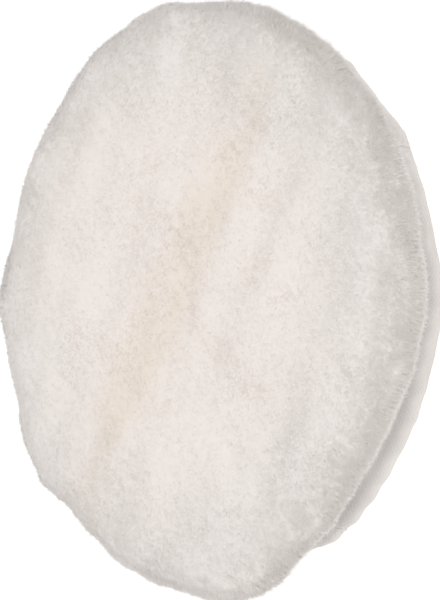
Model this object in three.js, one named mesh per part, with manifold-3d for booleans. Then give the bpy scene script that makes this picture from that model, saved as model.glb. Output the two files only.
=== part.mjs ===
// Lambswool polishing bonnet with a gathered cotton skirt and an elastic hem.
// Millimetres, +Z up. It lies wool up, with its skirt turned under it, and rests on the turned-under
// cloth at Z = 0. The disc's axis is Z.

import * as THREE from 'three';
import * as BufferGeometryUtils from 'three/addons/utils/BufferGeometryUtils.js';
import Module from 'manifold-3d';

const wasm = await Module();
wasm.setup();

// Driving dimensions
const GAP = 0.3; // between pieces that touch on the real bonnet
const TURNS = 48; // steps round a full ring
const SIDES = 6; // sides of a thread
const PILE_STEPS = 12; // steps up the wool's splayed side
const WALL_STEPS = 9; // steps up the skirt's wall
const SEAM_STEPS = 20; // steps along a seam's thread

const HIDE_RADIUS = 95;
const HIDE_THICKNESS = 1.4;
const SKIVED_THICKNESS = 0.7; // the hide is pared thin where it's sewn
const SEAT_RADIUS = 90; // the full-thickness hide that the backing pad presses on
const SEAT_HEIGHT = 17.2; // the hide's flesh side above the ground

const PILE_RADIUS = 107.5; // to the tips of the wool that splays past the hide
const PILE_HEIGHT = 23.2; // from the hide to the tips at the middle
const PILE_FULLEST = 9; // height of the wool's widest line above the binding
const PILE_SHOULDER = 5.4; // how far below the top the wool's side turns in

const CLOTH_THICKNESS = 0.9;
const PANEL_COUNT = 4;
const FIRST_SEAM_ANGLE = -55; // degrees from +X
const SKIRT_RADIUS = 98.2; // the skirt's fullest width
const SKIRT_FULLEST = 6.4; // height of that widest line
const FOLD_RADIUS = 89; // where the skirt leaves the ground
const SEAM_ALLOWANCE = 3.4;

const TAPE_THICKNESS = 0.6;
const THREAD_RADIUS = 0.25;
const STITCH_INSET = 1; // from an edge to the row of stitches along it
const THREAD_LIFT = GAP + THREAD_RADIUS; // from a cloth's face to the middle of the thread on it

const MOUTH_RADIUS = 57.8;
const HEM_WIDTH = 11.2;
const HEM_LAP = 2.4; // the skirt's edge lies this far inside the hem's casing
const HEM_STEP = 1.2; // width of the slope between the casing's roof and its lap
const ELASTIC_WIDTH = 6;
const ELASTIC_THICKNESS = 1;
const ELASTIC_PLAY = 0.5; // from the casing to the elastic
const JOIN_LENGTH = 5; // the bar of thread across the elastic's join
const JOIN_WIDTH = 2.4;

// Heights worked out from them
const hideTop = SEAT_HEIGHT + HIDE_THICKNESS;
const skivedBottom = hideTop - SKIVED_THICKNESS;
const flangeTop = skivedBottom - GAP;
const flangeBottom = flangeTop - CLOTH_THICKNESS;
const tapeBottom = flangeBottom - GAP - TAPE_THICKNESS;
const tapeTop = hideTop + GAP + TAPE_THICKNESS;
const pileBottom = hideTop + GAP;
const pileTop = hideTop + PILE_HEIGHT + GAP;
const flangeInner = HIDE_RADIUS - SEAM_ALLOWANCE - CLOTH_THICKNESS;
const tapeInner = flangeInner + CLOTH_THICKNESS + GAP;
const tapeOuter = HIDE_RADIUS + 2 * TAPE_THICKNESS;
const hemOuter = MOUTH_RADIUS + HEM_WIDTH;
const skirtInner = hemOuter - HEM_LAP;
const hemSeatBottom = TAPE_THICKNESS + GAP + 0.1;
const hemSeatTop = hemSeatBottom + CLOTH_THICKNESS;
const hemRoof = 3.2; // inside of the casing, over the elastic

const wool = new THREE.MeshStandardMaterial({ color: '#e9e3dc', roughness: 0.95, metalness: 0 });
const hide = new THREE.MeshStandardMaterial({ color: '#dccdb4', roughness: 0.85, metalness: 0 });
const canvas = new THREE.MeshStandardMaterial({ color: '#d6d2cd', roughness: 0.9, metalness: 0 });
const tape = new THREE.MeshStandardMaterial({ color: '#cdc8c1', roughness: 0.9, metalness: 0 });
const thread = new THREE.MeshStandardMaterial({ color: '#e6e2da', roughness: 0.7, metalness: 0 });
const elastic = new THREE.MeshStandardMaterial({ color: '#eeece6', roughness: 0.75, metalness: 0 });

const group = new THREE.Group();

function addPiece(name, geometry, material) {
	const mesh = new THREE.Mesh(geometry, material);
	mesh.name = name;
	group.add(mesh);
	return mesh;
}

// A ring or disc from its section: [radius, height] points, up its outer side and back down its inner
function ring(section) {
	const points = section.map(([radius, height]) => new THREE.Vector2(radius, height));
	return new THREE.LatheGeometry(points, TURNS).rotateX(Math.PI / 2);
}

function closed(section) {
	return [...section, section[0]];
}

// A thread lying along a circle
function threadRing(radius, height) {
	const section = [];
	for (let side = 0; side < SIDES; side += 1) {
		const turn = (2 * Math.PI * side) / SIDES;
		section.push([
			radius + THREAD_RADIUS * Math.cos(turn),
			height + THREAD_RADIUS * Math.sin(turn),
		]);
	}
	return ring(closed(section));
}

function solidFrom(geometry) {
	const bare = geometry.clone();
	bare.deleteAttribute('normal');
	bare.deleteAttribute('uv');
	const merged = BufferGeometryUtils.mergeVertices(bare, 1e-4);
	return new wasm.Manifold(new wasm.Mesh({
		numProp: 3,
		vertProperties: new Float32Array(merged.attributes.position.array),
		triVerts: new Uint32Array(merged.index.array),
	}));
}

function geometryFrom(solid) {
	const mesh = solid.getMesh();
	const geometry = new THREE.BufferGeometry();
	geometry.setAttribute('position', new THREE.BufferAttribute(mesh.vertProperties, mesh.numProp));
	geometry.setIndex(new THREE.BufferAttribute(mesh.triVerts, 1));
	geometry.computeVertexNormals();
	return geometry;
}

// The space between two planes through the axis, as a tall slice that is half a gap short of each
function slice(startAngle, endAngle) {
	const reach = 2 * SKIRT_RADIUS;
	const start = THREE.MathUtils.degToRad(startAngle);
	const end = THREE.MathUtils.degToRad(endAngle);
	const middle = (start + end) / 2;
	const inset = GAP / 2 / Math.sin((end - start) / 2);
	const corner = new THREE.Vector2(Math.cos(middle), Math.sin(middle)).multiplyScalar(inset);
	const outline = [corner];
	for (const turn of [start, middle, end]) {
		const edge = new THREE.Vector2(Math.cos(turn), Math.sin(turn)).multiplyScalar(reach);
		outline.push(edge.add(corner));
	}
	const geometry = new THREE.ExtrudeGeometry(new THREE.Shape(outline), {
		depth: 4 * SEAT_HEIGHT,
		bevelEnabled: false,
	});
	return geometry.translate(0, 0, -SEAT_HEIGHT);
}

// Points along a smooth curve through the given [radius, height] points
function smooth(points, steps) {
	const curve = new THREE.SplineCurve(points.map(([x, y]) => new THREE.Vector2(x, y)));
	return curve.getPoints(steps).map((point) => [point.x, point.y]);
}

// The shorn wool: flat on the hide, clear of the binding, splayed past the rim and softly domed
function woolPile() {
	const overTape = tapeTop + GAP;
	const splay = smooth([
		[tapeOuter + GAP, overTape],
		[PILE_RADIUS - 1, overTape + 0.6 * PILE_FULLEST],
		[PILE_RADIUS, overTape + PILE_FULLEST],
		[PILE_RADIUS - 4, pileTop - PILE_SHOULDER],
		[88, pileTop - 1.3],
		[60, pileTop - 0.4],
	], PILE_STEPS);
	return ring([
		[0, pileBottom],
		[tapeInner - GAP, pileBottom],
		[tapeInner - GAP, overTape],
		...splay,
		[0, pileTop],
	]);
}

function sheepskinHide() {
	return ring([
		[0, SEAT_HEIGHT],
		[SEAT_RADIUS, SEAT_HEIGHT],
		[SEAT_RADIUS, skivedBottom],
		[HIDE_RADIUS, skivedBottom],
		[HIDE_RADIUS, hideTop],
		[0, hideTop],
	]);
}

// Cotton tape folded round the raw edges of hide and skirt
function rimBinding() {
	return ring(closed([
		[tapeInner, tapeBottom],
		[tapeOuter, tapeBottom],
		[tapeOuter, tapeTop],
		[tapeInner, tapeTop],
		[tapeInner, hideTop + GAP],
		[tapeOuter - TAPE_THICKNESS, hideTop + GAP],
		[tapeOuter - TAPE_THICKNESS, flangeBottom - GAP],
		[tapeInner, flangeBottom - GAP],
	]));
}

// A strip's section: a line of [radius, height] points, given a thickness half on each side
function thicken(line, thickness) {
	const points = line.map(([x, y]) => new THREE.Vector2(x, y));
	const right = [];
	const left = [];
	points.forEach((point, index) => {
		const before = points[Math.max(index - 1, 0)];
		const after = points[Math.min(index + 1, points.length - 1)];
		const incoming = point.clone().sub(before).normalize();
		const outgoing = after.clone().sub(point).normalize();
		const along = incoming.clone().add(outgoing).normalize();
		const normal = new THREE.Vector2(along.y, -along.x);
		const straight = index > 0 ? incoming : outgoing;
		const reach = thickness / 2 / Math.abs(normal.dot(new THREE.Vector2(straight.y, -straight.x)));
		right.push([point.x + normal.x * reach, point.y + normal.y * reach]);
		left.unshift([point.x - normal.x * reach, point.y - normal.y * reach]);
	});
	return [...right, ...left];
}

// The skirt's wall, from the ground out to its fullest width and up to its neck under the rim
const clothOnGround = CLOTH_THICKNESS / 2;
const neckRadius = flangeInner + CLOTH_THICKNESS / 2;
const skirtWall = smooth([
	[FOLD_RADIUS, clothOnGround],
	[95, 1.6],
	[SKIRT_RADIUS - clothOnGround, SKIRT_FULLEST],
	[96, 11.6],
	[neckRadius, tapeBottom - 0.5],
], WALL_STEPS);

// The middle of the cloth, from its edge in the hem to its edge in the rim's seam
const skirtLine = [
	[skirtInner, hemSeatTop - clothOnGround],
	[hemOuter + 1.4, hemSeatTop - clothOnGround],
	[hemOuter + 2.8, clothOnGround],
	...skirtWall,
	[neckRadius, flangeTop - clothOnGround],
	[HIDE_RADIUS, flangeTop - clothOnGround],
];

function skirtPanels() {
	const whole = solidFrom(ring(closed(thicken(skirtLine, CLOTH_THICKNESS))));
	const width = 360 / PANEL_COUNT;
	for (let panel = 0; panel < PANEL_COUNT; panel += 1) {
		const start = FIRST_SEAM_ANGLE + panel * width;
		const part = whole.intersect(solidFrom(slice(start, start + width)));
		addPiece(`skirt_panel_${panel + 1}`, geometryFrom(part), canvas);
	}
}

// The thread that closes the seam between two panels, just inside the skirt's wall
function panelSeam(angle) {
	const inside = thicken([[hemOuter + 4, clothOnGround], ...skirtWall], CLOTH_THICKNESS + 2 * THREAD_LIFT);
	const route = inside.slice(inside.length / 2 + 1);
	const turn = THREE.MathUtils.degToRad(angle);
	const points = route.map(([radius, height]) => (
		new THREE.Vector3(radius * Math.cos(turn), radius * Math.sin(turn), height)
	));
	const section = new THREE.Shape();
	section.absarc(0, 0, THREAD_RADIUS, 0, 2 * Math.PI);
	return new THREE.ExtrudeGeometry(section, {
		extrudePath: new THREE.CatmullRomCurve3(points, false, 'centripetal'),
		steps: SEAM_STEPS,
		curveSegments: SIDES / 2,
	});
}

// The hem's casing: cloth folded over the elastic, open towards the skirt's edge
function hemCasing() {
	return ring(closed([
		[MOUTH_RADIUS, 0],
		[hemOuter, 0],
		[hemOuter, TAPE_THICKNESS],
		[MOUTH_RADIUS + TAPE_THICKNESS, TAPE_THICKNESS],
		[MOUTH_RADIUS + TAPE_THICKNESS, hemRoof],
		[skirtInner - HEM_STEP, hemRoof],
		[skirtInner, hemSeatTop + GAP],
		[hemOuter, hemSeatTop + GAP],
		[hemOuter, hemSeatTop + GAP + TAPE_THICKNESS],
		[skirtInner, hemSeatTop + GAP + TAPE_THICKNESS],
		[skirtInner - HEM_STEP, hemRoof + TAPE_THICKNESS],
		[MOUTH_RADIUS, hemRoof + TAPE_THICKNESS],
	]));
}

const elasticInner = MOUTH_RADIUS + TAPE_THICKNESS + ELASTIC_PLAY;
const elasticBottom = TAPE_THICKNESS + GAP;
const elasticTop = elasticBottom + ELASTIC_THICKNESS;

function elasticBand() {
	return ring(closed([
		[elasticInner, elasticBottom],
		[elasticInner + ELASTIC_WIDTH, elasticBottom],
		[elasticInner + ELASTIC_WIDTH, elasticTop],
		[elasticInner, elasticTop],
	]));
}

// The zigzag bar of thread that joins the elastic's ends
function elasticJoinStitch() {
	const height = 2 * THREAD_RADIUS;
	return new THREE.BoxGeometry(JOIN_LENGTH, JOIN_WIDTH, height);
}

addPiece('wool_pile', woolPile(), wool);
addPiece('sheepskin_hide', sheepskinHide(), hide);
addPiece('rim_binding', rimBinding(), tape);
addPiece('rim_stitching', threadRing(HIDE_RADIUS - STITCH_INSET, tapeBottom - THREAD_LIFT), thread);
skirtPanels();
for (let seam = 0; seam < PANEL_COUNT; seam += 1) {
	const angle = FIRST_SEAM_ANGLE + (seam * 360) / PANEL_COUNT;
	addPiece(`panel_seam_${seam + 1}`, panelSeam(angle), thread);
}
addPiece('hem_casing', hemCasing(), tape);
const hemThreadHeight = hemSeatTop + GAP + TAPE_THICKNESS + THREAD_LIFT;
addPiece('hem_stitching', threadRing(hemOuter - HEM_LAP / 2, hemThreadHeight), thread);
addPiece('elastic_band', elasticBand(), elastic);
const joinStitch = addPiece('elastic_join_stitch', elasticJoinStitch(), thread);
joinStitch.position.set(0, elasticInner + ELASTIC_WIDTH / 2, elasticTop + THREAD_LIFT);
joinStitch.rotation.z = Math.PI / 2;

export default group;
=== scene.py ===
"""Lambswool polishing bonnet: a shorn wool face on its hide, a gathered cotton skirt and an elastic hem.

It lies wool up, with the skirt turned under it. Lengths inside the functions are in millimetres and
are turned to metres when a mesh is made.
"""
import math

import bmesh
import bpy
import numpy as np
from mathutils import Matrix, Vector


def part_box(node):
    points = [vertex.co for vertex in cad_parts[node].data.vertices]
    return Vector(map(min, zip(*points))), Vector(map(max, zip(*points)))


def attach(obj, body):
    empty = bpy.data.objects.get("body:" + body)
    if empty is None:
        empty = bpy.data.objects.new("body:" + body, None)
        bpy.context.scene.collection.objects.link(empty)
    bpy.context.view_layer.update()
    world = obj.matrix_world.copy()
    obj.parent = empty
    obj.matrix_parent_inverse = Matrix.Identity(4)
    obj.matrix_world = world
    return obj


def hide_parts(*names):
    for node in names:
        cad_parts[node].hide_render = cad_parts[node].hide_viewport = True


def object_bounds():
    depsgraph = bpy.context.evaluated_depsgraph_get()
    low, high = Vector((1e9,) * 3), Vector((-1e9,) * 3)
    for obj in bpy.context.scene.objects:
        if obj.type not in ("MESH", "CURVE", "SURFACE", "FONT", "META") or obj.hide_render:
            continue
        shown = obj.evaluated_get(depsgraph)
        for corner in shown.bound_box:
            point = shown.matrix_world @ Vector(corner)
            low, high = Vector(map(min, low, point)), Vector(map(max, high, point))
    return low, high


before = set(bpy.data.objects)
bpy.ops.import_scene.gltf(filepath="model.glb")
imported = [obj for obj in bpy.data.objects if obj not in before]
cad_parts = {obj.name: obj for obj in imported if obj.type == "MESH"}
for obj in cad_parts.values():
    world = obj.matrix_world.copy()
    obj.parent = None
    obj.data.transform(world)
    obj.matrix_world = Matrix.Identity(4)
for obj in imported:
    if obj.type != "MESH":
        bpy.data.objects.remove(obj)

bl_info = {
    "name": "Lambswool Polishing Bonnet",
    "version": (1, 0, 0),
    "blender": (4, 5, 0),
    "location": "3D View > Sidebar > Bonnet",
    "description": "Builds a lambswool polishing bonnet around its packed frame",
    "category": "Add Mesh",
}

MM = 0.001
CAD_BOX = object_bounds()


def corners_mm(node):
    """A node's lowest and highest corner, in millimetres."""
    low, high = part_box(node)
    return np.array(low) / MM, np.array(high) / MM


PILE_LOW, PILE_HIGH = corners_mm("wool_pile")
HIDE_LOW, HIDE_HIGH = corners_mm("sheepskin_hide")
TAPE_LOW, TAPE_HIGH = corners_mm("rim_binding")
HEM_LOW, HEM_HIGH = corners_mm("hem_casing")
BAND_LOW, BAND_HIGH = corners_mm("elastic_band")
JOIN_LOW, JOIN_HIGH = corners_mm("elastic_join_stitch")
PILE_RADIUS = PILE_HIGH[0]
HIDE_RADIUS = HIDE_HIGH[0]
TAPE_RADIUS = TAPE_HIGH[0]
HEM_RADIUS = HEM_HIGH[0]
BAND_RADIUS = BAND_HIGH[0]
PANELS = [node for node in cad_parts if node.startswith("skirt_panel")]
SEAMS = [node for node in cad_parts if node.startswith("panel_seam")]
SKIRT_RADIUS = max(corners_mm(node)[1][0] for node in PANELS)

GAP = 0.3  # between the frame's layers
TAPE_THICKNESS = 0.6
CLOTH_THICKNESS = 0.8
SEAM_ALLOWANCE = 3.4
SKIVED_THICKNESS = 0.7  # the hide is pared thin where it's sewn
SKIVED_WIDTH = 5
HEM_WIDTH = 11.2
HEM_LAP = 2.4  # the skirt's edge lies this far inside the hem
ELASTIC_WIDTH = 6.0
STITCH_SHARE = 0.72  # how much of the pitch a stitch covers
STILL_RADIUS = 80  # the wool's face doesn't shift inside this
ROOT_DEPTH = 0.5  # of the fibres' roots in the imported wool
FIBRES_TO_A_PIECE = 60000
FIRST_SEAM = math.radians(-55)
PANEL_TURN = 2 * math.pi / len(PANELS)
STREAK_TURN = math.radians(30.2)  # turns the way the fleece was combed onto X
FOLD_ANGLES = (-28, -51, -87, -152, -188, -226, -262, -300)  # degrees: where the skirt creases
# round the rim, in degrees from X: how far the shorn wool stands out past an even edge, and how far it
# hangs, in millimetres; it has settled askew on its skirt, so one side hangs and the other rides up
RIM_SHAPE = (
    (0, 1.2, 0.0), (14, 1.5, 0.0), (28, 1.3, 0.0), (40, 0.0, 0.0), (55, -1.5, 0.0), (66, -3.0, 0.0),
    (80, -2.0, 0.0), (93, 3.2, 0.0), (101, 1.2, 0.0), (108, 0.3, 0.0), (115, -2.5, 0.0), (132, 2.8, 0.0),
    (141, -3.8, 0.0), (154, -4.8, 0.0), (166, -2.0, 0.0), (180, 0.5, 0.0), (192, 2.2, 0.0), (204, 3.5, -1.0),
    (218, -2.5, -2.8), (232, -2.5, -2.6), (240, 0.0, -1.5), (250, -0.5, -1.0), (268, 1.0, 0.5),
    (285, 1.8, 1.2), (295, 1.0, 0.8), (308, 1.6, 2.0), (318, 0.5, 0.5), (335, 0.8, 0.3), (345, 1.2, 0.5),
)


# ---------------------------------------------------------------- shapes

def ripples(points, wavelength, seed):
    """A smooth random field of about unit size over points, in waves about one wavelength long."""
    rng = np.random.default_rng(seed)
    waves = 7
    total = np.zeros(points.shape[:-1])
    for _ in range(waves):
        direction = rng.normal(size=points.shape[-1])
        direction /= np.linalg.norm(direction)
        step = 2 * math.pi / (wavelength * rng.uniform(0.75, 1.35))
        total += np.sin(points @ direction * step + rng.uniform(0, 2 * math.pi))
    return total / math.sqrt(waves / 2)


def ease(values, start, end):
    """0 before start, 1 past end, and a smooth step between."""
    share = np.clip((values - start) / (end - start), 0, 1)
    return share * share * (3 - 2 * share)


def rounded(line, times=2):
    """The open line with its corners cut again and again, so many times."""
    points = np.array(line, float)
    for _ in range(times):
        near = points[:-1] * 0.75 + points[1:] * 0.25
        far = points[:-1] * 0.25 + points[1:] * 0.75
        middle = np.stack([near, far], axis=1).reshape(-1, 2)
        points = np.vstack([points[:1], middle, points[-1:]])
    return points


def spaced(line, step):
    """Points along the line, a step apart."""
    points = np.array(line, float)
    run = np.concatenate([[0], np.cumsum(np.linalg.norm(np.diff(points, axis=0), axis=1))])
    places = np.linspace(0, run[-1], max(int(run[-1] / step), 2) + 1)
    return np.stack([np.interp(places, run, points[:, k]) for k in range(2)], axis=1)


def thicken(line, thickness):
    """A strip's closed section, half its thickness on each side of the line."""
    along = np.gradient(line, axis=0)
    along /= np.linalg.norm(along, axis=1, keepdims=True)
    normal = np.stack([along[:, 1], -along[:, 0]], axis=1) * thickness / 2
    return np.vstack([line + normal, (line - normal)[::-1]])


def fill_mesh(name, vertices, loops, sizes, material, uvs=None):
    """A mesh object from flat arrays: vertices in millimetres, the corners of each face, and their number."""
    mesh = bpy.data.meshes.new(name)
    mesh.vertices.add(len(vertices))
    mesh.vertices.foreach_set("co", (vertices * MM).astype(np.float32).ravel())
    mesh.loops.add(len(loops))
    mesh.loops.foreach_set("vertex_index", loops.astype(np.int32))
    starts = np.concatenate([[0], np.cumsum(sizes)[:-1]])
    mesh.polygons.add(len(sizes))
    mesh.polygons.foreach_set("loop_start", starts.astype(np.int32))
    mesh.polygons.foreach_set("use_smooth", np.ones(len(sizes), bool))
    if uvs is not None:
        layer = mesh.uv_layers.new(name="cloth_mm")
        layer.data.foreach_set("uv", uvs.astype(np.float32).ravel())
    mesh.update(calc_edges=True)
    mesh.validate()
    mesh.materials.append(material)
    piece = bpy.data.objects.new(name, mesh)
    bpy.context.collection.objects.link(piece)
    return piece


def turned(radius, height, angle):
    """The points at these radii, heights and angles round the bonnet's axis."""
    return np.stack([radius * np.cos(angle), radius * np.sin(angle), height], axis=-1)


def sweep(name, section, angles, shape, material, whole=True):
    """A closed section of [radius, height] points swept through angles, with shape() moving its points.

    whole joins the last angle to the first; otherwise the two ends are capped.
    """
    rows, columns = len(section), len(angles)
    run = np.linalg.norm(np.diff(section, axis=0, append=section[:1]), axis=1)
    across = np.concatenate([[0], np.cumsum(run)])
    angle = np.repeat(angles[:, None], rows, axis=1)
    radius = np.repeat(section[None, :, 0], columns, axis=0)
    height = np.repeat(section[None, :, 1], columns, axis=0)
    radius, height = shape(radius, height, angle)
    vertices = turned(radius, height, angle).reshape(-1, 3)
    spans = columns if whole else columns - 1
    j, i = np.meshgrid(np.arange(spans), np.arange(rows), indexing="ij")
    j, i = j.ravel(), i.ravel()
    after, above = (j + 1) % columns, (i + 1) % rows
    quads = np.stack([j * rows + i, after * rows + i, after * rows + above, j * rows + above], axis=1)
    turn = np.append(angles, angles[0] + 2 * math.pi) * section[:, 0].mean()
    u = turn[np.stack([j, j + 1, j + 1, j], axis=1)]
    v = across[np.stack([i, i, i + 1, i + 1], axis=1)]
    loops = quads.ravel()
    uvs = np.stack([u.ravel(), v.ravel()], axis=1)
    sizes = np.full(len(quads), 4)
    if not whole:
        caps = np.concatenate([np.arange(rows), (columns - 1) * rows + np.arange(rows)[::-1]])
        loops = np.concatenate([loops, caps])
        uvs = np.vstack([uvs, np.zeros((2 * rows, 2))])
        sizes = np.concatenate([sizes, [rows, rows]])
    return fill_mesh(name, vertices, loops, sizes, material, uvs)


def full_turn(steps):
    """The angles of a full turn, in even steps."""
    return np.arange(steps) * 2 * math.pi / steps


def stitches(name, starts, ends, bulges, thread, material):
    """A row of stitches: each a short bowed length of thread from a start to an end, lifted by its bulge."""
    sides, steps = 6, 6
    t = np.linspace(0, 1, steps + 1)
    bow = np.sqrt(np.clip(1 - (2 * t - 1) ** 2, 0, 1))
    middle = starts[:, None] + (ends - starts)[:, None] * t[:, None] + bulges[:, None] * bow[:, None]
    along = (ends - starts) / np.linalg.norm(ends - starts, axis=1, keepdims=True)
    up = bulges / np.linalg.norm(bulges, axis=1, keepdims=True)
    side = np.cross(along, up)
    ring = np.arange(sides) * 2 * math.pi / sides
    width = thread / 2 * (0.35 + 0.65 * bow)
    around = np.cos(ring)[:, None] * side[:, None] + np.sin(ring)[:, None] * up[:, None]
    points = middle[:, :, None] + around[:, None] * width[None, :, None, None]
    count = len(starts)
    per = (steps + 1) * sides
    s, i = np.meshgrid(np.arange(steps), np.arange(sides), indexing="ij")
    s, i = s.ravel(), i.ravel()
    nxt = (i + 1) % sides
    quad = np.stack([s * sides + i, s * sides + nxt, (s + 1) * sides + nxt, (s + 1) * sides + i], axis=1)
    first = np.arange(count)[:, None] * per
    quads = (quad.ravel()[None] + first).ravel()
    caps = np.concatenate([np.arange(sides)[::-1], steps * sides + np.arange(sides)])
    ends_of = (caps[None] + first).ravel()
    loops = np.concatenate([quads, ends_of])
    sizes = np.concatenate([np.full(count * len(quad), 4), np.full(count * 2, sides)])
    return fill_mesh(name, points.reshape(-1, 3), loops, sizes, material)


def stitch_ring(name, radius, height, down, pitch, thread, material):
    """Stitches along a circle, bowed along down."""
    count = int(2 * math.pi * radius / pitch)
    angle = full_turn(count)
    half = pitch * STITCH_SHARE / 2 / radius
    slack = 0.15 * ripples(angle[:, None] * radius, 7, 61)
    starts = turned(radius + slack, np.full(count, height), angle - half)
    ends = turned(radius + slack, np.full(count, height), angle + half)
    bulges = np.repeat(np.array(down, float)[None] * thread * 0.5, count, axis=0)
    return stitches(name, starts, ends, bulges, thread, material)


# ---------------------------------------------------------------- materials

SMOOTH = {"interpolation_type": "SMOOTHSTEP"}  # for a Map Range node that eases in and out


def linear(code):
    """An sRGB hex colour as linear RGBA."""
    parts = [int(code[k:k + 2], 16) / 255 for k in (1, 3, 5)]
    return [p / 12.92 if p <= 0.04045 else ((p + 0.055) / 1.055) ** 2.4 for p in parts] + [1.0]


def scale_for(size):
    """A texture's scale for features about size millimetres across."""
    return 1 / (size * MM)


def add_node(tree, kind, settings=None, links=None):
    """A node with its settings, each an attribute or an input's value, and the sources of its inputs."""
    made = tree.nodes.new(kind)
    for key, value in (settings or {}).items():
        if isinstance(key, str) and hasattr(made, key):
            setattr(made, key, value)
        else:
            made.inputs[key].default_value = value
    for key, source in (links or {}).items():
        tree.links.new(source, made.inputs[key])
    return made


def new_material(name, settings):
    """A node material, its node tree, and its Principled shader with the given plain values."""
    material = bpy.data.materials.new(name)
    material.use_nodes = True
    tree = material.node_tree
    shader = tree.nodes["Principled BSDF"]
    for key, value in settings.items():
        shader.inputs[key].default_value = value
    return material, tree, shader


def lambswool(settings):
    """Shorn lambswool: greasy-dry keratin fibre, so it is matt, with a soft sheen along grazing edges.

    Undyed wool yellows in streaks along the skin. Its colour is painted greyer and cooler towards the rim,
    and darker under it, for the shade that falls there.
    """
    material, tree, shader = new_material(
        "lambswool_shorn",
        {"Sheen Weight": 0.25, "Sheen Roughness": 0.6, "IOR": 1.55, "Specular IOR Level": 0.25},
    )
    place = add_node(tree, "ShaderNodeTexCoord").outputs["Object"]
    turned_place = add_node(
        tree, "ShaderNodeMapping", {"Rotation": (0, 0, settings.streak_turn)}, {"Vector": place}
    ).outputs["Vector"]
    across_streak = add_node(tree, "ShaderNodeSeparateXYZ", links={"Vector": turned_place}).outputs["Y"]
    from_streak = add_node(
        tree, "ShaderNodeMath", {"operation": "SUBTRACT", 1: settings.streak_offset}, {0: across_streak}
    )
    distance = add_node(tree, "ShaderNodeMath", {"operation": "ABSOLUTE"}, {0: from_streak.outputs[0]})
    band = add_node(
        tree,
        "ShaderNodeMapRange",
        {**SMOOTH, "From Min": 3 * MM, "From Max": 17 * MM, "To Min": 1.0, "To Max": 0.0},
        {"Value": distance.outputs[0]},
    )
    # the stain runs along the fleece in patches about 18 mm wide and three times as long
    stretched = add_node(
        tree, "ShaderNodeMapping", {"Scale": (0.35, 1.0, 1.0)}, {"Vector": turned_place}
    ).outputs["Vector"]
    stain = add_node(
        tree,
        "ShaderNodeTexNoise",
        {"Scale": scale_for(18), "Detail": 4.0, "Roughness": 0.6},
        {"Vector": stretched},
    )
    patches = add_node(
        tree,
        "ShaderNodeMapRange",
        {**SMOOTH, "From Min": 0.2, "From Max": 0.62, "To Min": 0.0, "To Max": 1.0},
        {"Value": stain.outputs["Fac"]},
    )
    streak = add_node(
        tree, "ShaderNodeMath", {"operation": "MULTIPLY_ADD", 1: 0.8, 2: 0.15}, {0: band.outputs[0]}
    )
    yellow = add_node(
        tree, "ShaderNodeMath", {"operation": "MULTIPLY"}, {0: patches.outputs[0], 1: streak.outputs[0]}
    )
    creamy = add_node(
        tree,
        "ShaderNodeMix",
        {"data_type": "RGBA", 6: settings.wool_colour, 7: settings.cream_colour},
        {0: yellow.outputs[0]},
    )
    # painted shade: the colour turns greyer and cooler raggedly between 75 and 125 mm from the middle, for
    # the shade on the wool's margins
    squashed = add_node(tree, "ShaderNodeVectorMath", {"operation": "MULTIPLY", 1: (1, 1, 0)}, {0: place})
    off_axis = add_node(tree, "ShaderNodeVectorMath", {"operation": "LENGTH"}, {0: squashed.outputs[0]})
    wander = add_node(tree, "ShaderNodeTexNoise", {"Scale": scale_for(36), "Detail": 3.0}, {"Vector": place})
    ragged = add_node(
        tree,
        "ShaderNodeMath",
        {"operation": "MULTIPLY_ADD", 1: 0.05},
        {0: wander.outputs["Fac"], 2: off_axis.outputs["Value"]},
    )
    rim_shade_mask = add_node(
        tree,
        "ShaderNodeMapRange",
        {**SMOOTH, "From Min": 75 * MM, "From Max": 125 * MM, "To Min": 0.0, "To Max": 0.8},
        {"Value": ragged.outputs[0]},
    )
    rim_shaded = add_node(
        tree,
        "ShaderNodeMix",
        {"data_type": "RGBA", 7: settings.rim_shade_colour},
        {0: rim_shade_mask.outputs[0], 6: creamy.outputs[2]},
    )
    # locks of wool about 2.5 mm across differ a little in how much light they give back
    locks = add_node(tree, "ShaderNodeTexNoise", {"Scale": scale_for(2.5), "Detail": 2.0}, {"Vector": place})
    value = add_node(
        tree,
        "ShaderNodeMapRange",
        {"From Min": 0.25, "From Max": 0.75, "To Min": 0.98, "To Max": 1.02},
        {"Value": locks.outputs["Fac"]},
    )
    # painted shade: the wool is darkened below 23.5 mm, most below 15 mm, for the shade that falls under the
    # rim
    up = add_node(tree, "ShaderNodeSeparateXYZ", links={"Vector": place}).outputs["Z"]
    under = add_node(
        tree,
        "ShaderNodeMapRange",
        {**SMOOTH, "From Min": 15 * MM, "From Max": 23.5 * MM, "To Min": 0.8, "To Max": 1.0},
        {"Value": up},
    )
    depth = add_node(
        tree, "ShaderNodeMath", {"operation": "MULTIPLY"}, {0: value.outputs[0], 1: under.outputs[0]}
    )
    final = add_node(
        tree, "ShaderNodeHueSaturation", links={"Value": depth.outputs[0], "Color": rim_shaded.outputs[2]}
    )
    tree.links.new(final.outputs["Color"], shader.inputs["Base Color"])
    dullness = add_node(
        tree, "ShaderNodeMapRange", {"To Min": 0.85, "To Max": 0.98}, {"Value": locks.outputs["Fac"]}
    )
    tree.links.new(dullness.outputs[0], shader.inputs["Roughness"])
    return material


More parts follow.
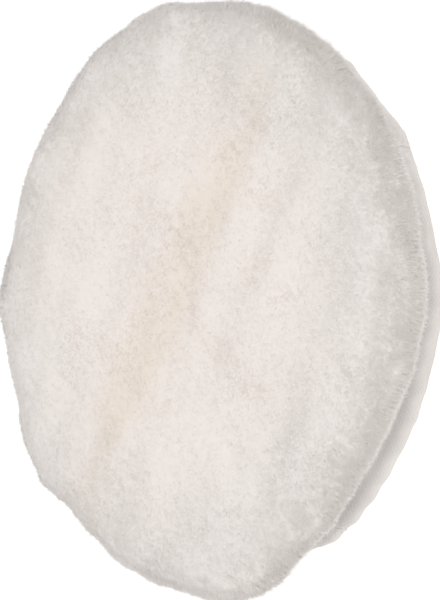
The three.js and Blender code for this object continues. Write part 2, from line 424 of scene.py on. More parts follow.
def sueded_sheepskin(settings):
    """Tanned sheepskin, its flesh side sueded: a short nap, mottled where it lies one way or the other."""
    material, tree, shader = new_material(
        "sheepskin_sueded", {"Sheen Weight": 0.3, "Sheen Roughness": 0.5, "IOR": 1.5}
    )
    place = add_node(tree, "ShaderNodeTexCoord").outputs["Object"]
    blotches = add_node(
        tree,
        "ShaderNodeTexNoise",
        {"Scale": scale_for(14), "Detail": 5.0, "Roughness": 0.65},
        {"Vector": place},
    )
    colour = add_node(
        tree,
        "ShaderNodeMix",
        {"data_type": "RGBA", 6: settings.hide_dark_colour, 7: settings.hide_colour},
        {0: blotches.outputs["Fac"]},
    )
    # the nap's fibres lie in tufts about 0.6 mm across
    nap = add_node(tree, "ShaderNodeTexNoise", {"Scale": scale_for(0.6), "Detail": 3.0}, {"Vector": place})
    bump = add_node(
        tree, "ShaderNodeBump", {"Strength": 0.5, "Distance": 0.0002}, {"Height": nap.outputs["Fac"]}
    )
    dullness = add_node(
        tree, "ShaderNodeMapRange", {"To Min": 0.8, "To Max": 0.95}, {"Value": blotches.outputs["Fac"]}
    )
    tree.links.new(colour.outputs[2], shader.inputs["Base Color"])
    tree.links.new(dullness.outputs[0], shader.inputs["Roughness"])
    tree.links.new(bump.outputs["Normal"], shader.inputs["Normal"])
    return material


def woven_cotton(name, dark, light, warp, weft, slant):
    """Woven cotton. warp and weft are its thread spacings in millimetres, drawn a little coarser than real
    so that the weave shows; a slant turns the plain weave's chequer into a twill's diagonal ribs.
    """
    material, tree, shader = new_material(
        name, {"Sheen Weight": 0.15, "Sheen Roughness": 0.5, "IOR": 1.5, "Specular IOR Level": 0.3}
    )
    flat = add_node(tree, "ShaderNodeUVMap", {"uv_map": "cloth_mm"}).outputs["UV"]
    leaning = add_node(tree, "ShaderNodeMapping", {"Rotation": (0, 0, slant)}, {"Vector": flat})
    apart = add_node(tree, "ShaderNodeSeparateXYZ", links={"Vector": leaning.outputs["Vector"]})
    waves = []
    for axis, spacing in (("X", warp), ("Y", weft)):
        turn = add_node(
            tree, "ShaderNodeMath", {"operation": "MULTIPLY", 1: math.pi / spacing}, {0: apart.outputs[axis]}
        )
        waves.append(add_node(tree, "ShaderNodeMath", {"operation": "SINE"}, {0: turn.outputs[0]}))
    weave = add_node(
        tree, "ShaderNodeMath", {"operation": "MULTIPLY"}, {0: waves[0].outputs[0], 1: waves[1].outputs[0]}
    )
    # the yarn has a thick place every 3 mm or so, and the cloth has duller patches about 22 mm across
    place = add_node(tree, "ShaderNodeTexCoord").outputs["Object"]
    slubs = add_node(
        tree,
        "ShaderNodeTexNoise",
        {"Scale": scale_for(3), "Detail": 4.0, "Roughness": 0.6},
        {"Vector": place},
    )
    soil = add_node(tree, "ShaderNodeTexNoise", {"Scale": scale_for(22), "Detail": 4.0}, {"Vector": place})
    shade = add_node(
        tree,
        "ShaderNodeMath",
        {"operation": "MULTIPLY_ADD", 1: 0.18},
        {0: weave.outputs[0], 2: soil.outputs["Fac"]},
    )
    colour = add_node(
        tree, "ShaderNodeMix", {"data_type": "RGBA", 6: dark, 7: light}, {0: shade.outputs[0]}
    )
    # painted shade: the cloth is darkened from 5 mm up, fully above 12.5 mm, for the shade on the wall that
    # leans in under the rim
    up = add_node(tree, "ShaderNodeSeparateXYZ", links={"Vector": place}).outputs["Z"]
    painted_neck_shade = add_node(
        tree,
        "ShaderNodeMapRange",
        {**SMOOTH, "From Min": 5 * MM, "From Max": 12.5 * MM, "To Min": 1.0, "To Max": 0.8},
        {"Value": up},
    )
    neck_shaded = add_node(
        tree, "ShaderNodeHueSaturation", links={"Value": painted_neck_shade.outputs[0], "Color": colour.outputs[2]}
    )
    height = add_node(
        tree,
        "ShaderNodeMath",
        {"operation": "MULTIPLY_ADD", 1: 0.5},
        {0: weave.outputs[0], 2: slubs.outputs["Fac"]},
    )
    bump = add_node(
        tree, "ShaderNodeBump", {"Strength": 0.6, "Distance": 0.00015}, {"Height": height.outputs[0]}
    )
    dullness = add_node(
        tree, "ShaderNodeMapRange", {"To Min": 0.78, "To Max": 0.95}, {"Value": slubs.outputs["Fac"]}
    )
    tree.links.new(neck_shaded.outputs["Color"], shader.inputs["Base Color"])
    tree.links.new(dullness.outputs[0], shader.inputs["Roughness"])
    tree.links.new(bump.outputs["Normal"], shader.inputs["Normal"])
    return material


def twisted_thread(settings):
    """Spun polyester sewing thread: smoother than the cotton, so each stitch catches a small highlight."""
    material, tree, shader = new_material("polyester_thread_spun", {"IOR": 1.57})
    place = add_node(tree, "ShaderNodeTexCoord").outputs["Object"]
    # the plies turn about every 0.6 mm
    plies = add_node(tree, "ShaderNodeTexNoise", {"Scale": scale_for(0.6), "Detail": 2.0}, {"Vector": place})
    colour = add_node(
        tree,
        "ShaderNodeMix",
        {"data_type": "RGBA", 6: linear("#CFC9BF"), 7: settings.thread_colour},
        {0: plies.outputs["Fac"]},
    )
    bump = add_node(
        tree, "ShaderNodeBump", {"Strength": 0.5, "Distance": 0.0001}, {"Height": plies.outputs["Fac"]}
    )
    dullness = add_node(
        tree, "ShaderNodeMapRange", {"To Min": 0.45, "To Max": 0.7}, {"Value": plies.outputs["Fac"]}
    )
    tree.links.new(colour.outputs[2], shader.inputs["Base Color"])
    tree.links.new(dullness.outputs[0], shader.inputs["Roughness"])
    tree.links.new(bump.outputs["Normal"], shader.inputs["Normal"])
    return material


# ---------------------------------------------------------------- settings

def colour_setting(name, description, code):
    return bpy.props.FloatVectorProperty(
        name=name, description=description, subtype="COLOR", size=4, min=0, max=1, default=linear(code)
    )


class BonnetWool(bpy.types.PropertyGroup):
    wool_colour: colour_setting("Wool", "Colour of clean undyed wool", "#E9E0DA")
    cream_colour: colour_setting("Yellowed wool", "Colour where the wool has yellowed", "#E4D8CB")
    # painted shade: the greyer, cooler colour given to the wool's shaded margins
    rim_shade_colour: colour_setting("Rim wool", "Colour of the wool towards the rim", "#E2DDD8")
    hide_colour: colour_setting("Hide", "Colour of the sueded flesh side", "#E2D3B8")
    hide_dark_colour: colour_setting("Hide blotches", "Colour of the hide's darker blotches", "#CDBB9C")
    streak_turn: bpy.props.FloatProperty(
        name="Streak turn", description="Turn that lays the yellow streak along X",
        subtype="ANGLE", default=STREAK_TURN,
    )
    streak_offset: bpy.props.FloatProperty(
        name="Streak offset", description="How far the yellow streak runs from the middle",
        unit="LENGTH", default=0.004,
    )
    fibre_length: bpy.props.FloatProperty(
        name="Fibre ends", description="Length of the free fibre ends on the face",
        unit="LENGTH", default=0.0022,
    )
    rim_fibre_length: bpy.props.FloatProperty(
        name="Rim fibre ends", description="Length of the free fibre ends that splay past the hide",
        unit="LENGTH", default=0.0034,
    )
    fibre_width: bpy.props.FloatProperty(
        name="Fibre width", description="Width of one drawn fibre, which stands for a few real ones",
        unit="LENGTH", default=0.00016,
    )
    fibres_per_mm2: bpy.props.FloatProperty(
        name="Fibres", description="Drawn fibres on each square millimetre of the face", default=12.0, min=0.5
    )


class BonnetCloth(bpy.types.PropertyGroup):
    cloth_colour: colour_setting("Skirt", "Colour of the skirt's cotton", "#DBD5D0")
    cloth_dark_colour: colour_setting("Skirt shade", "Colour of the cotton's duller patches", "#CAC4BE")
    tape_colour: colour_setting("Tape", "Colour of the cotton tape", "#C6C0BA")
    tape_dark_colour: colour_setting("Tape shade", "Colour of the tape's duller patches", "#B9B2AB")
    elastic_colour: colour_setting("Elastic", "Colour of the elastic", "#F0EEE8")
    thread_colour: colour_setting("Thread", "Colour of the sewing thread", "#EFEBE2")
    gathers: bpy.props.IntProperty(
        name="Gathers", description="Gathers that the elastic draws up round the mouth", default=52, min=8
    )
    gather_height: bpy.props.FloatProperty(
        name="Gather height", description="How far the tallest gathers stand up",
        unit="LENGTH", default=0.0036,
    )
    stitch_pitch: bpy.props.FloatProperty(
        name="Stitch pitch", description="Distance from one stitch to the next",
        unit="LENGTH", default=0.003,
    )
    thread_width: bpy.props.FloatProperty(
        name="Thread width", description="Thickness of the sewing thread", unit="LENGTH", default=0.00045
    )


class BonnetStage(bpy.types.PropertyGroup):
    floor_colour: colour_setting("Floor", "Colour of the floor", "#FAFAFA")
    camera_elevation: bpy.props.FloatProperty(
        name="Elevation", description="The camera's angle above the floor",
        subtype="ANGLE", default=math.radians(43.2),
    )
    camera_roll: bpy.props.FloatProperty(
        name="Roll", description="The camera's turn about its own line of sight",
        subtype="ANGLE", default=math.radians(-88),
    )
    camera_distance: bpy.props.FloatProperty(
        name="Distance", description="From the camera to the bonnet", unit="LENGTH", default=1.5
    )
    camera_lens: bpy.props.FloatProperty(
        name="Lens", description="The camera's focal length in millimetres", default=249
    )
    camera_slide: bpy.props.FloatVectorProperty(
        name="Slide", description="The camera's step to its right and up, which centres the bonnet",
        subtype="TRANSLATION", size=3, default=(0.0024, -0.0007, 0.0),
    )


# ---------------------------------------------------------------- the wool

def pile_line(radius, top, fullest, under, inner):
    """The wool's outline: from the middle of its face, round its fullest width and in to the binding."""
    shoulder, dome = 2 / 7, 2 / 2.3  # powers that square off the shoulder and round the face
    turn = np.linspace(0, math.pi / 2, 400)
    face = np.stack(
        [radius * np.sin(turn) ** shoulder, fullest + (top - fullest) * np.cos(turn) ** dome], axis=1
    )
    below = np.stack(
        [inner + (radius - inner) * np.cos(turn), fullest - (fullest - under) * np.sin(turn)], axis=1
    )
    return np.vstack([face, below[1:]])


def outward(line):
    """The line's unit normals, pointing out of the wool."""
    along = np.gradient(line, axis=0)
    along /= np.linalg.norm(along, axis=1, keepdims=True)
    return np.stack([-along[:, 1], along[:, 0]], axis=1)


def round_rim(angle, column):
    """One column of RIM_SHAPE at each angle."""
    places = [row[0] for row in RIM_SHAPE]
    return np.interp(np.degrees(angle) % 360, places, [row[column] for row in RIM_SHAPE], period=360)


def settle(radius, height, angle):
    """Radii and heights once the wool has shifted on its hide and its edge has drooped past the binding."""
    sewn = TAPE_HIGH[2] + 1  # below this height the wool is held by the binding
    shifts = ease(radius, STILL_RADIUS, PILE_RADIUS - 4) * ease(height, sewn, sewn + 5)
    past_tape = ease(radius, TAPE_RADIUS + 0.8, TAPE_RADIUS + 3)
    droops = past_tape * (1 - ease(height, PILE_LOW[2] + 6.1, PILE_HIGH[2] - 5.1))
    return radius + shifts * round_rim(angle, 1), height - droops * round_rim(angle, 2)


def lumps(points, *waves):
    """The sum of ripples over points, each given as its height, wavelength and seed."""
    return sum(height * ripples(points, wavelength, seed) for height, wavelength, seed in waves)


def wool_lumps(points, rim):
    """How far the wool stands proud, in millimetres: broad dents, partings, and shears' marks at the rim.

    The dents and the partings run along the way that the fleece was combed.
    """
    cos, sin = math.cos(STREAK_TURN), math.sin(STREAK_TURN)
    along = points[..., 0] * cos - points[..., 1] * sin
    across = points[..., 0] * sin + points[..., 1] * cos
    combed = np.stack([0.3 * along, across, points[..., 2]], axis=-1)
    depth, width = 0.45, 0.24
    opened = ease(ripples(points, 60, 15), 0.0, 0.9)
    partings = -depth * np.exp(-((ripples(combed, 52, 14) / width) ** 2)) * opened
    on_face = partings + lumps(combed, (0.24, 24, 19))
    at_rim = lumps(points, (0.9, 40, 16), (0.25, 15, 17), (0.12, 5, 18))
    everywhere = lumps(points, (0.6, 48, 11), (0.12, 19, 12), (0.03, 6, 13))
    return everywhere + on_face * (1 - rim) + at_rim * rim


def wool_line():
    """Points along the outline of the wool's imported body, which lies just inside its fibres' tips."""
    radius = PILE_RADIUS - 2.4
    top = PILE_HIGH[2] - 2.6
    fullest = PILE_LOW[2] + 9.5
    under = TAPE_HIGH[2] + GAP + 0.3
    return spaced(pile_line(radius, top, fullest, under, TAPE_RADIUS + GAP + 0.5), 0.8)


def wool_base(material):
    """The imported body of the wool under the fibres' free ends, flat where it sits on the hide."""
    line = wool_line()
    step_in = TAPE_RADIUS - SEAM_ALLOWANCE - 2
    seat = spaced([(step_in, TAPE_HIGH[2] + GAP), (step_in, PILE_LOW[2]), (0, PILE_LOW[2])], 2.5)
    # the line runs from the face down, so the section is turned round to run up its outer side
    section = np.vstack([line, seat])[::-1]
    normal = np.vstack([outward(line), np.zeros_like(seat)])[::-1]
    rim = np.clip(normal[None, :, 0], 0, 1)
    loose = ease(np.linalg.norm(normal, axis=1)[None], 0, 1)

    def shape(radius, height, angle):
        radius, height = settle(radius, height, angle)
        proud = wool_lumps(turned(radius, height, angle), rim) * loose
        return radius + normal[None, :, 0] * proud, height + normal[None, :, 1] * proud

    piece = sweep("wool_base", section, full_turn(480), shape, material)
    weld(piece)
    return piece


def weld(piece):
    """Merges the vertices that meet on the axis, and turns every face outwards."""
    work = bmesh.new()
    work.from_mesh(piece.data)
    bmesh.ops.remove_doubles(work, verts=work.verts, dist=1e-7)
    bmesh.ops.recalc_face_normals(work, faces=work.faces)
    work.to_mesh(piece.data)
    work.free()


def scatter(line, fibres_per_mm2, rng):
    """Random places over the wool, closer together at its rim.

    Gives the radius and height of each, the way the wool faces there (out and up), and the angle.
    """
    normal = outward(line)
    size = np.linalg.norm(np.diff(line, axis=0), axis=1)
    middle = (line[1:] + line[:-1]) / 2
    crowd = 1 + 0.5 * np.clip(normal[1:, 0], 0, 1)
    area = 2 * math.pi * middle[:, 0] * size * crowd
    count = int(area.sum() * fibres_per_mm2)
    reach = np.concatenate([[0], np.cumsum(area)])
    rows = np.arange(len(line))
    place = np.interp(rng.uniform(0, reach[-1], count), reach, rows)
    found = [np.interp(place, rows, column) for column in (*line.T, *normal.T)]
    found.append(rng.uniform(0, 2 * math.pi, count))
    order = np.argsort(found[-1])
    return [values[order] for values in found]


def nap(points, ways, rim, rng):
    """The way each fibre lies over: combed one way on the face, with some drift, and hanging at the rim."""
    combed = np.array([-0.18, 0.36, 0.0])
    drift = np.stack([ripples(points, 34, 21 + k) for k in range(3)], axis=1)
    locks = np.stack([ripples(points, 2.2, 31 + k) for k in range(3)], axis=1)
    bend = combed * (1 - rim[:, None]) + 0.16 * drift + 0.05 * locks
    bend += rng.normal(size=points.shape) * 0.34
    bend[:, 2] -= rim
    bend -= ways * np.sum(bend * ways, axis=1, keepdims=True)
    return bend / np.linalg.norm(bend, axis=1, keepdims=True)


def fibre_ends(settings):
    """Each fibre's root, way up, lean, how upright it is, how far it is rolled over, its length and width."""
    rng = np.random.default_rng(5)
    radius, height, out, up, angle = scatter(wool_line(), settings.fibres_per_mm2, rng)
    count = len(angle)
    points = turned(*settle(radius, height, angle), angle)
    ways = turned(out, up, angle)
    ways /= np.linalg.norm(ways, axis=1, keepdims=True)
    rim = np.clip(out, 0, 1)
    roots = points + ways * (wool_lumps(points, rim) - ROOT_DEPTH)[:, None]
    lean = nap(points, ways, rim, rng)
    upright = np.clip(0.4 + 0.12 * rim + 0.1 * rng.normal(size=count), 0.2, 0.6)
    on_face, at_rim = settings.fibre_length / MM, settings.rim_fibre_length / MM
    length = (on_face + (at_rim - on_face) * rim) * rng.uniform(0.72, 1.2, count)
    length *= 1 + 0.05 * ripples(points, 3.5, 41)
    # some stand out as a fringe, under the rim and along its shoulder
    under = ease(rim, 0.3, 0.6) * ease(-ways[:, 2], -0.55, -0.1)
    shoulder = ease(rim, 0.45, 0.66) * (1 - ease(rim, 0.74, 0.9))
    stray = rng.uniform(size=count) < 0.35 * (under + 0.6 * shoulder)
    length[stray] *= rng.uniform(1.0, 1.6, np.count_nonzero(stray))
    upright[stray] = rng.uniform(0.6, 0.95, np.count_nonzero(stray))
    width = settings.fibre_width / MM * rng.uniform(0.7, 1.25, count)
    roll = rng.uniform(-1, 1, count) * (0.2 + 0.8 * rim)
    return roots, ways, lean, upright, roll, length, width


def fibres(name, roots, ways, lean, upright, roll, length, width, material):
    """Fibres as ribbons that bend over towards their tips, broad side out and up, as sheared wool does."""
    steps = np.array([0.0, 0.5, 1.0])
    taper = np.array([1.0, 0.8, 0.0])
    steep = 1 - np.abs(ways[:, 2:])  # 1 where the wool faces sideways
    above = np.array([0.0, 0.0, 1.0])
    away = np.sqrt(1 - upright ** 2)[:, None]
    along = ways * upright[:, None] + lean * away
    side = np.cross(ways + 2.6 * above * steep, along)
    side /= np.linalg.norm(side, axis=1, keepdims=True)
    rise = upright[:, None] * (steps - 0.35 * steps ** 2) * length[:, None]
    reach = away * steps * length[:, None]
    centre = roots[:, None] + ways[:, None] * rise[:, :, None] + lean[:, None] * reach[:, :, None]
    offset = side[:, None] * (width[:, None] * taper / 2)[:, :, None]
    left, right, tip = centre[:, :2] - offset[:, :2], centre[:, :2] + offset[:, :2], centre[:, 2]
    vertices = np.concatenate([np.stack([left, right], axis=2).reshape(-1, 4, 3), tip[:, None]], axis=1)
    first = np.arange(len(roots))[:, None] * 5
    loops = (first + np.array([0, 3, 1, 0, 2, 3, 2, 4, 3])[None]).ravel()
    piece = fill_mesh(name, vertices.reshape(-1, 3), loops, np.full(len(roots) * 3, 3), material)
    # each ribbon is lit as part of the wool's soft surface, and a little by its own roll
    soft = ways + above * steep - 0.15 * lean + 0.5 * side * roll[:, None]
    soft /= np.linalg.norm(soft, axis=1, keepdims=True)
    piece.data.normals_split_custom_set_from_vertices(np.repeat(soft, 5, axis=0))
    return piece


class BONNET_OT_wool(bpy.types.Operator):
    """Add the lambswool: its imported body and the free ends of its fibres"""
    bl_idname = "bonnet.add_wool"
    bl_label = "Wool"
    bl_options = {"REGISTER", "UNDO"}

    def execute(self, context):
        settings = context.scene.bonnet_wool
        material = lambswool(settings)
        base = wool_base(material)
        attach(base, "root")
        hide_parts("wool_pile")
        ends = fibre_ends(settings)
        count = len(ends[0])
        for number, part in enumerate(np.array_split(np.arange(count), math.ceil(count / FIBRES_TO_A_PIECE))):
            piece = fibres(f"wool_fibres_{number + 1}", *(values[part] for values in ends), material)
            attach(piece, "root")
        return {"FINISHED"}


# ---------------------------------------------------------------- the hide

class BONNET_OT_hide(bpy.types.Operator):
    """Add the sheepskin that the wool grows on, pared thin at its sewn edge"""
    bl_idname = "bonnet.add_hide"
    bl_label = "Hide"
    bl_options = {"REGISTER", "UNDO"}

    def execute(self, context):
        settings = context.scene.bonnet_wool
        low, high = HIDE_LOW[2], HIDE_HIGH[2]
        skived = high - SKIVED_THICKNESS
        seat = HIDE_RADIUS - SKIVED_WIDTH
        under = spaced([(0, low), (seat - 0.6, low)], 2)
        edge = rounded([(seat - 0.5, low), (seat, low), (seat, skived), (HIDE_RADIUS, skived)], 2)
        outer = rounded([(HIDE_RADIUS, skived), (HIDE_RADIUS, high), (HIDE_RADIUS - 1, high)], 1)
        over = spaced([(HIDE_RADIUS - 2, high), (0, high)], 4)
        section = np.vstack([under, edge, outer[1:], over])

        def shape(radius, height, angle):
            points = turned(radius, height, angle)
            buckle = lumps(points, (0.12, 30, 51), (0.05, 7, 52))
            return radius, height + np.where(radius < seat - 1, buckle, 0.3 * buckle)

        piece = sweep("hide", section, full_turn(240), shape, sueded_sheepskin(settings))
        weld(piece)
        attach(piece, "root")
        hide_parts("sheepskin_hide")
        return {"FINISHED"}


# ---------------------------------------------------------------- the binding

class BONNET_OT_binding(bpy.types.Operator):
    """Add the tape that binds hide and skirt together, and its stitches"""
    bl_idname = "bonnet.add_binding"
    bl_label = "Rim binding"
    bl_options = {"REGISTER", "UNDO"}

    def execute(self, context):
        cloth = context.scene.bonnet_cloth
        half = TAPE_THICKNESS / 2
        inner = HIDE_RADIUS - SEAM_ALLOWANCE + GAP
        top, bottom, outer = TAPE_HIGH[2] - half, TAPE_LOW[2] + half, TAPE_RADIUS - half
        line = rounded([(inner, bottom), (outer, bottom), (outer, top), (inner, top)], 3)
        section = thicken(spaced(line, 0.35), TAPE_THICKNESS)

        middle = (TAPE_LOW[2] + TAPE_HIGH[2]) / 2
        puckers = 150  # small even ones that the stitches pull round the rim

        def shape(radius, height, angle):
            along_rim = angle[..., None] * HIDE_RADIUS
            pucker = 0.1 * np.sin(angle * puckers) + lumps(along_rim, (0.14, 11, 71))
            outside = ease(radius, inner + 2, TAPE_RADIUS)
            lift = (1 - outside) * 0.5 * pucker * np.sign(height - middle)
            return radius + outside * pucker * 1.6, height + lift

        tape = woven_cotton(
            "cotton_tape_twill", cloth.tape_dark_colour, cloth.tape_colour, 0.9, 1.6, math.radians(35)
        )
        piece = sweep("rim_tape", section, full_turn(900), shape, tape)
        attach(piece, "root")
        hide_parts("rim_binding")
        row = stitch_ring(
            "rim_stitches", HIDE_RADIUS - 1, TAPE_LOW[2], (0, 0, -1), cloth.stitch_pitch / MM,
            cloth.thread_width / MM, twisted_thread(cloth),
        )
        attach(row, "root")
        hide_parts("rim_stitching")
        return {"FINISHED"}


# ---------------------------------------------------------------- the skirt

def round_mouth(angle):
    """Points on the hem's outer edge, to read a pattern that closes on itself."""
    return np.stack([np.cos(angle), np.sin(angle)], axis=-1) * HEM_RADIUS


def crests(angle, gathers):
    """1 on top of each gather and 0 between them, with gathers of uneven width."""
    wander = lumps(round_mouth(angle), (1.3, 34, 81), (0.5, 12, 82))
    return 0.5 + 0.5 * np.cos(angle * gathers + wander)


def slack(angle):
    """How tall the gathers are round the mouth: some draw up more than others."""
    return 0.85 + lumps(round_mouth(angle), (0.2, 40, 83))


def between_folds(angle):
    """How far the skirt's wall falls inside a round one, because it runs straighter between its folds."""
    tautness, deepest = 0.85, 2.6
    folds = np.sort(np.radians(FOLD_ANGLES) % (2 * math.pi))
    folds = np.append(folds, folds[0] + 2 * math.pi)
    turn = (angle - folds[0]) % (2 * math.pi) + folds[0]
    span = np.clip(np.searchsorted(folds, turn, side="right") - 1, 0, len(folds) - 2)
    width = folds[span + 1] - folds[span]
    share = (turn - folds[span]) / width
    sagitta = np.minimum(SKIRT_RADIUS * (1 - np.cos(width / 2)) * tautness, deepest)
    return sagitta * (1 - (2 * share - 1) ** 2)


def skirt_shape(cloth):
    """Moves a plain skirt's points to where the gathers, the folds and the seams pull its cloth."""
    gather_height = cloth.gather_height / MM

    def shape(radius, height, angle):
        points = turned(radius, height, angle)
        crest = crests(angle, cloth.gathers)
        turned_under = 1 - ease(height, 2, 9)
        inwards = ease(SKIRT_RADIUS - 1 - radius, 0, 24)
        in_hem = 1 - ease(radius, HEM_RADIUS - 0.5, HEM_RADIUS + 3)
        tall = gather_height * slack(angle) * (1 - 0.72 * in_hem)
        wall = ease(height, 0.5, 5) * (1 - ease(height, 11, 14.5))
        pulled = wall * (0.9 * crest * (1 - ease(height, 4, 11)) - lumps(points, (0.55, 30, 91)))
        straight = between_folds(angle) * ease(radius, 80, 95) * (1 - ease(height, 11.5, 15))
        from_seam = (angle - FIRST_SEAM + PANEL_TURN / 2) % PANEL_TURN - PANEL_TURN / 2
        seam = 0.5 * np.exp(-((from_seam * SKIRT_RADIUS / 2) ** 2)) * (wall + 0.2)
        lift = turned_under * inwards * crest * tall + wall * lumps(points, (0.15, 18, 92))
        return radius - straight - pulled - seam, height + lift

    return shape


def skirt_line():
    """The middle of the cloth, from its edge in the hem, out over the ground, and up into the rim's seam."""
    half = 0.45  # of the thickness that the frame leaves for the cloth
    seat = TAPE_THICKNESS + GAP + 0.55
    neck = HIDE_RADIUS - SEAM_ALLOWANCE - half
    flange = TAPE_LOW[2] + TAPE_THICKNESS + GAP + half
    hem = [(HEM_RADIUS - HEM_LAP, seat), (HEM_RADIUS + 1.6, seat), (HEM_RADIUS + 3.4, half)]
    wall = [(88, half), (96, half + 0.4), (SKIRT_RADIUS + 0.6, 6), (97, 12), (neck, TAPE_LOW[2] - 0.8)]
    return spaced(rounded(hem + wall + [(neck, flange), (HIDE_RADIUS, flange)], 3), 0.9)


class BONNET_OT_skirt(bpy.types.Operator):
    """Add the skirt's gathered panels and the stitched seams between them"""
    bl_idname = "bonnet.add_skirt"
    bl_label = "Skirt"
    bl_options = {"REGISTER", "UNDO"}

    def execute(self, context):
        cloth = context.scene.bonnet_cloth
        cotton = woven_cotton(
            "cotton_canvas_plain_weave", cloth.cloth_dark_colour, cloth.cloth_colour, 0.8, 0.8, 0.0
        )
        thread_material = bpy.data.materials["polyester_thread_spun"]
        shape = skirt_shape(cloth)
        line = skirt_line()
        section = thicken(line, CLOTH_THICKNESS)
        gap = 0.04 / SKIRT_RADIUS  # each panel stops just short of the seam
        for number, node in enumerate(PANELS):
            start = FIRST_SEAM + number * PANEL_TURN
            angles = np.linspace(start + gap, start + PANEL_TURN - gap, 190)
            panel = sweep(f"skirt_cloth_{number + 1}", section, angles, shape, cotton, whole=False)
            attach(panel, "root")
            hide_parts(node)
        outer = section[:len(line)]
        outer = outer[(outer[:, 0] > HEM_RADIUS + 4) & (outer[:, 1] < TAPE_LOW[2] - 1.5)]
        places = spaced(outer, cloth.stitch_pitch / MM / 2)
        for number, node in enumerate(SEAMS):
            seam = FIRST_SEAM + number * PANEL_TURN
            row = seam_stitches(f"panel_stitches_{number + 1}", seam, places, shape, cloth, thread_material)
            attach(row, "root")
            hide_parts(node)
        return {"FINISHED"}


def seam_stitches(name, seam, places, shape, cloth, material):
    """Two rows of topstitching, one on each side of a seam, lying on the cloth's outer face."""
    starts, ends, bulges = [], [], []
    thread = cloth.thread_width / MM
    from_seam = 1.9 / SKIRT_RADIUS
    last = len(places) - 1 - (len(places) - 1) % 2
    for side in (-1, 1):
        angle = np.full(len(places), seam + side * from_seam)
        points = turned(*shape(places[:, 0], places[:, 1], angle), angle)
        along = np.gradient(points, axis=0)
        across = np.stack([-np.sin(angle), np.cos(angle), np.zeros_like(angle)], axis=1)
        out = np.cross(across, along)
        out /= np.linalg.norm(out, axis=1, keepdims=True)
        here, there = points[0:last:2], points[1:last + 1:2]
        starts.append(here * 0.9 + there * 0.1)
        ends.append(there)
        bulges.append(out[0:last:2] * thread * 0.5)
    return stitches(name, np.vstack(starts), np.vstack(ends), np.vstack(bulges), thread, material)


# ---------------------------------------------------------------- the hem

class BONNET_OT_hem(bpy.types.Operator):
    """Add the gathered casing round the mouth and the stitches that close it"""
    bl_idname = "bonnet.add_hem"
    bl_label = "Hem"
    bl_options = {"REGISTER", "UNDO"}

    def execute(self, context):
        cloth = context.scene.bonnet_cloth
        half = TAPE_THICKNESS / 2
        mouth = HEM_RADIUS - HEM_WIDTH
        roof = HEM_HIGH[2] - half
        lap = roof - 1.0
        line = rounded(
            [
                (HEM_RADIUS, lap), (HEM_RADIUS - HEM_LAP, lap), (HEM_RADIUS - HEM_LAP - 1.2, roof),
                (mouth + half, roof), (mouth + half, half), (HEM_RADIUS, half),
            ],
            3,
        )
        section = thicken(spaced(line, 0.4), TAPE_THICKNESS)

        def shape(radius, height, angle):
            crest = crests(angle, cloth.gathers)
            lift = 1.5 * crest * slack(angle) * ease(height, 1.2, 3.2)
            drawn = 0.35 * crest * (1 - ease(radius, mouth, mouth + 3))
            wavers = lumps(turned(radius, height, angle), (0.2, 25, 101))
            return radius + drawn + wavers, height + lift

        tape = bpy.data.materials["cotton_tape_twill"]
        piece = sweep("hem_tape", section, full_turn(800), shape, tape)
        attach(piece, "root")
        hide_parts("hem_casing")
        thread = cloth.thread_width / MM
        pitch = cloth.stitch_pitch / MM
        row = HEM_RADIUS - HEM_LAP / 2
        count = int(2 * math.pi * row / pitch)
        angle = full_turn(count)
        half_turn = pitch * STITCH_SHARE / 2 / row
        starts, ends, bulges = [], [], []
        # one row shows on the casing's upper side and one on the side that rests on the ground
        for level, way in ((lap + half, 1.0), (0.15, -1.0)):
            for turns, kept in ((angle - half_turn, starts), (angle + half_turn, ends)):
                kept.append(turned(*shape(np.full(count, row), np.full(count, level), turns), turns))
            bulges.append(np.tile([0, 0, way * thread * 0.4], (count, 1)))
        stitched = stitches(
            "hem_stitches", np.vstack(starts), np.vstack(ends), np.vstack(bulges), thread,
            bpy.data.materials["polyester_thread_spun"],
        )
        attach(stitched, "root")
        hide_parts("hem_stitching")
        return {"FINISHED"}


class BONNET_OT_elastic(bpy.types.Operator):
    """Add the elastic inside the hem and the bar of thread that joins its ends"""
    bl_idname = "bonnet.add_elastic"
    bl_label = "Elastic"
    bl_options = {"REGISTER", "UNDO"}

    def execute(self, context):
        cloth = context.scene.bonnet_cloth
        inner = BAND_RADIUS - ELASTIC_WIDTH
        low, high = BAND_LOW[2] + 0.12, BAND_HIGH[2] - 0.12
        cords, crimps = 6, 180  # rubber cords side by side, and waves in the weave that covers them
        across = np.linspace(0, 1, 37)
        ribs = 0.08 * np.cos(across * 2 * math.pi * cords)
        lower = np.stack([inner + ELASTIC_WIDTH * across, low - ribs], axis=1)
        upper = np.stack([inner + ELASTIC_WIDTH * across, high + ribs], axis=1)[::-1]

        def shape(radius, height, angle):
            return radius, height + 0.05 * np.sin(angle * crimps)

        woven = woven_cotton(
            "elastic_tape_woven", linear("#DEDBD3"), cloth.elastic_colour, 0.7, 1.0, 0.0
        )
        band = sweep("elastic", np.vstack([lower, upper]), full_turn(720), shape, woven)
        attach(band, "root")
        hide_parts("elastic_band")
        middle = (JOIN_LOW + JOIN_HIGH) / 2
        count = 9  # zigzags in the bar
        along = np.linspace(JOIN_LOW[1], JOIN_HIGH[1], count + 1)
        zigzag = np.where(np.arange(count + 1) % 2 == 0, JOIN_LOW[0], JOIN_HIGH[0])
        corners = np.stack([zigzag, along, np.full(count + 1, middle[2])], axis=1)
        bulges = np.tile([0.0, 0.0, 0.12], (count, 1))
        bar = stitches(
            "elastic_bar_stitch", corners[:-1], corners[1:], bulges, cloth.thread_width / MM,
            bpy.data.materials["polyester_thread_spun"],
        )
        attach(bar, "root")
        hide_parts("elastic_join_stitch")
        return {"FINISHED"}


# ---------------------------------------------------------------- the stage

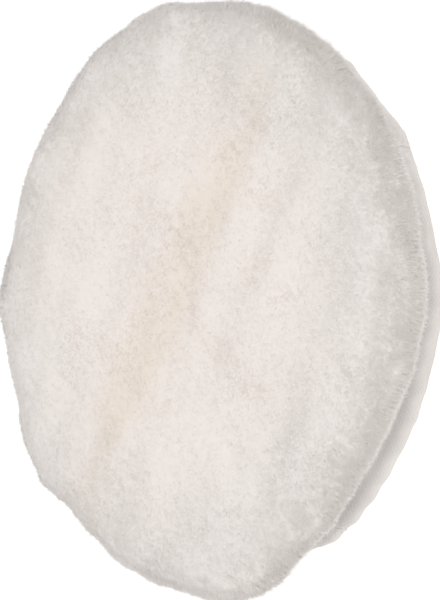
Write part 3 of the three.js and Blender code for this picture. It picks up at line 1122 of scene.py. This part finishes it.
def area_light(name, place, size, power, tint):
    """A round soft light, turned to the bonnet."""
    data = bpy.data.lights.new(name, "AREA")
    data.shape = "DISK"
    data.size = size
    data.energy = power
    data.color = tint
    lamp = bpy.data.objects.new(name, data)
    lamp.location = place
    lamp.rotation_euler = (-Vector(place)).to_track_quat("-Z", "Y").to_euler()
    bpy.context.collection.objects.link(lamp)


class BONNET_OT_stage(bpy.types.Operator):
    """Add the pale floor, the soft lights and the camera"""
    bl_idname = "bonnet.add_stage"
    bl_label = "Stage"
    bl_options = {"REGISTER", "UNDO"}

    def execute(self, context):
        settings = context.scene.bonnet_stage
        paper, tree, shader = new_material("paper_matt", {"Roughness": 0.9, "Emission Strength": 0.4})
        shader.inputs["Emission Color"].default_value = settings.floor_colour
        place = add_node(tree, "ShaderNodeTexCoord").outputs["Object"]
        grain = add_node(tree, "ShaderNodeTexNoise", {"Scale": scale_for(1)}, {"Vector": place})
        shade = add_node(
            tree, "ShaderNodeMapRange", {"To Min": 0.99, "To Max": 1.01}, {"Value": grain.outputs["Fac"]}
        )
        colour = add_node(
            tree, "ShaderNodeHueSaturation", {"Color": settings.floor_colour}, {"Value": shade.outputs[0]}
        )
        tree.links.new(colour.outputs["Color"], shader.inputs["Base Color"])
        half, drop = 2000.0, -0.3  # the floor is just under the stitches that the bonnet rests on
        sheet = np.array([(-half, -half, drop), (half, -half, drop), (half, half, drop), (-half, half, drop)])
        floor = fill_mesh("floor", sheet, np.arange(4), np.array([4]), paper)

        area_light("light_over", (-0.35, -0.35, 1.42), 1.4, 4.2, (1.0, 0.985, 0.97))
        area_light("light_front", (0.0, -1.5, 0.7), 1.2, 5, (0.98, 0.99, 1.0))
        area_light("light_back", (0.3, 1.3, 0.9), 1.2, 2.6, (1.0, 0.99, 0.98))
        world = bpy.data.worlds.new("soft_room")
        world.use_nodes = True
        background = world.node_tree.nodes["Background"]
        background.inputs["Color"].default_value = linear("#F4F6F8")
        background.inputs["Strength"].default_value = 0.88
        context.scene.world = world

        low, high = (Vector(corner) for corner in CAD_BOX)
        centre = (low + high) / 2
        elevation = settings.camera_elevation
        back = Vector((0, -math.cos(elevation), math.sin(elevation)))
        data = bpy.data.cameras.new("camera")
        data.lens = settings.camera_lens
        data.clip_end = 20
        camera = bpy.data.objects.new("camera", data)
        camera.rotation_mode = "QUATERNION"
        level = back.to_track_quat("Z", "Y")
        camera.rotation_quaternion = level @ Matrix.Rotation(settings.camera_roll, 3, "Z").to_quaternion()
        camera.location = centre + back * settings.camera_distance
        camera.location += camera.rotation_quaternion @ Vector(settings.camera_slide)
        context.collection.objects.link(camera)
        context.scene.camera = camera
        context.scene.view_settings.view_transform = "Standard"
        return {"FINISHED"}


# ---------------------------------------------------------------- the add-on

OPERATORS = (
    BONNET_OT_stage, BONNET_OT_wool, BONNET_OT_hide, BONNET_OT_binding, BONNET_OT_skirt, BONNET_OT_hem,
    BONNET_OT_elastic,
)
SETTINGS = (("bonnet_wool", BonnetWool), ("bonnet_cloth", BonnetCloth), ("bonnet_stage", BonnetStage))


class BONNET_PT_panel(bpy.types.Panel):
    """The bonnet's pieces and settings"""
    bl_idname = "BONNET_PT_panel"
    bl_label = "Polishing Bonnet"
    bl_space_type = "VIEW_3D"
    bl_region_type = "UI"
    bl_category = "Bonnet"

    def draw(self, context):
        for name, group in SETTINGS:
            box = self.layout.box()
            for key in group.__annotations__:
                box.prop(getattr(context.scene, name), key)
        for operator in OPERATORS:
            self.layout.operator(operator.bl_idname)


def register():
    for name, group in SETTINGS:
        bpy.utils.register_class(group)
        setattr(bpy.types.Scene, name, bpy.props.PointerProperty(type=group))
    for operator in OPERATORS:
        bpy.utils.register_class(operator)
    bpy.utils.register_class(BONNET_PT_panel)


def unregister():
    bpy.utils.unregister_class(BONNET_PT_panel)
    for operator in reversed(OPERATORS):
        bpy.utils.unregister_class(operator)
    for name, group in reversed(SETTINGS):
        delattr(bpy.types.Scene, name)
        bpy.utils.unregister_class(group)


def main():
    register()
    bpy.ops.bonnet.add_stage()
    bpy.ops.bonnet.add_wool()
    bpy.ops.bonnet.add_hide()
    bpy.ops.bonnet.add_binding()
    bpy.ops.bonnet.add_skirt()
    bpy.ops.bonnet.add_hem()
    bpy.ops.bonnet.add_elastic()


if __name__ == "__main__":
    main()
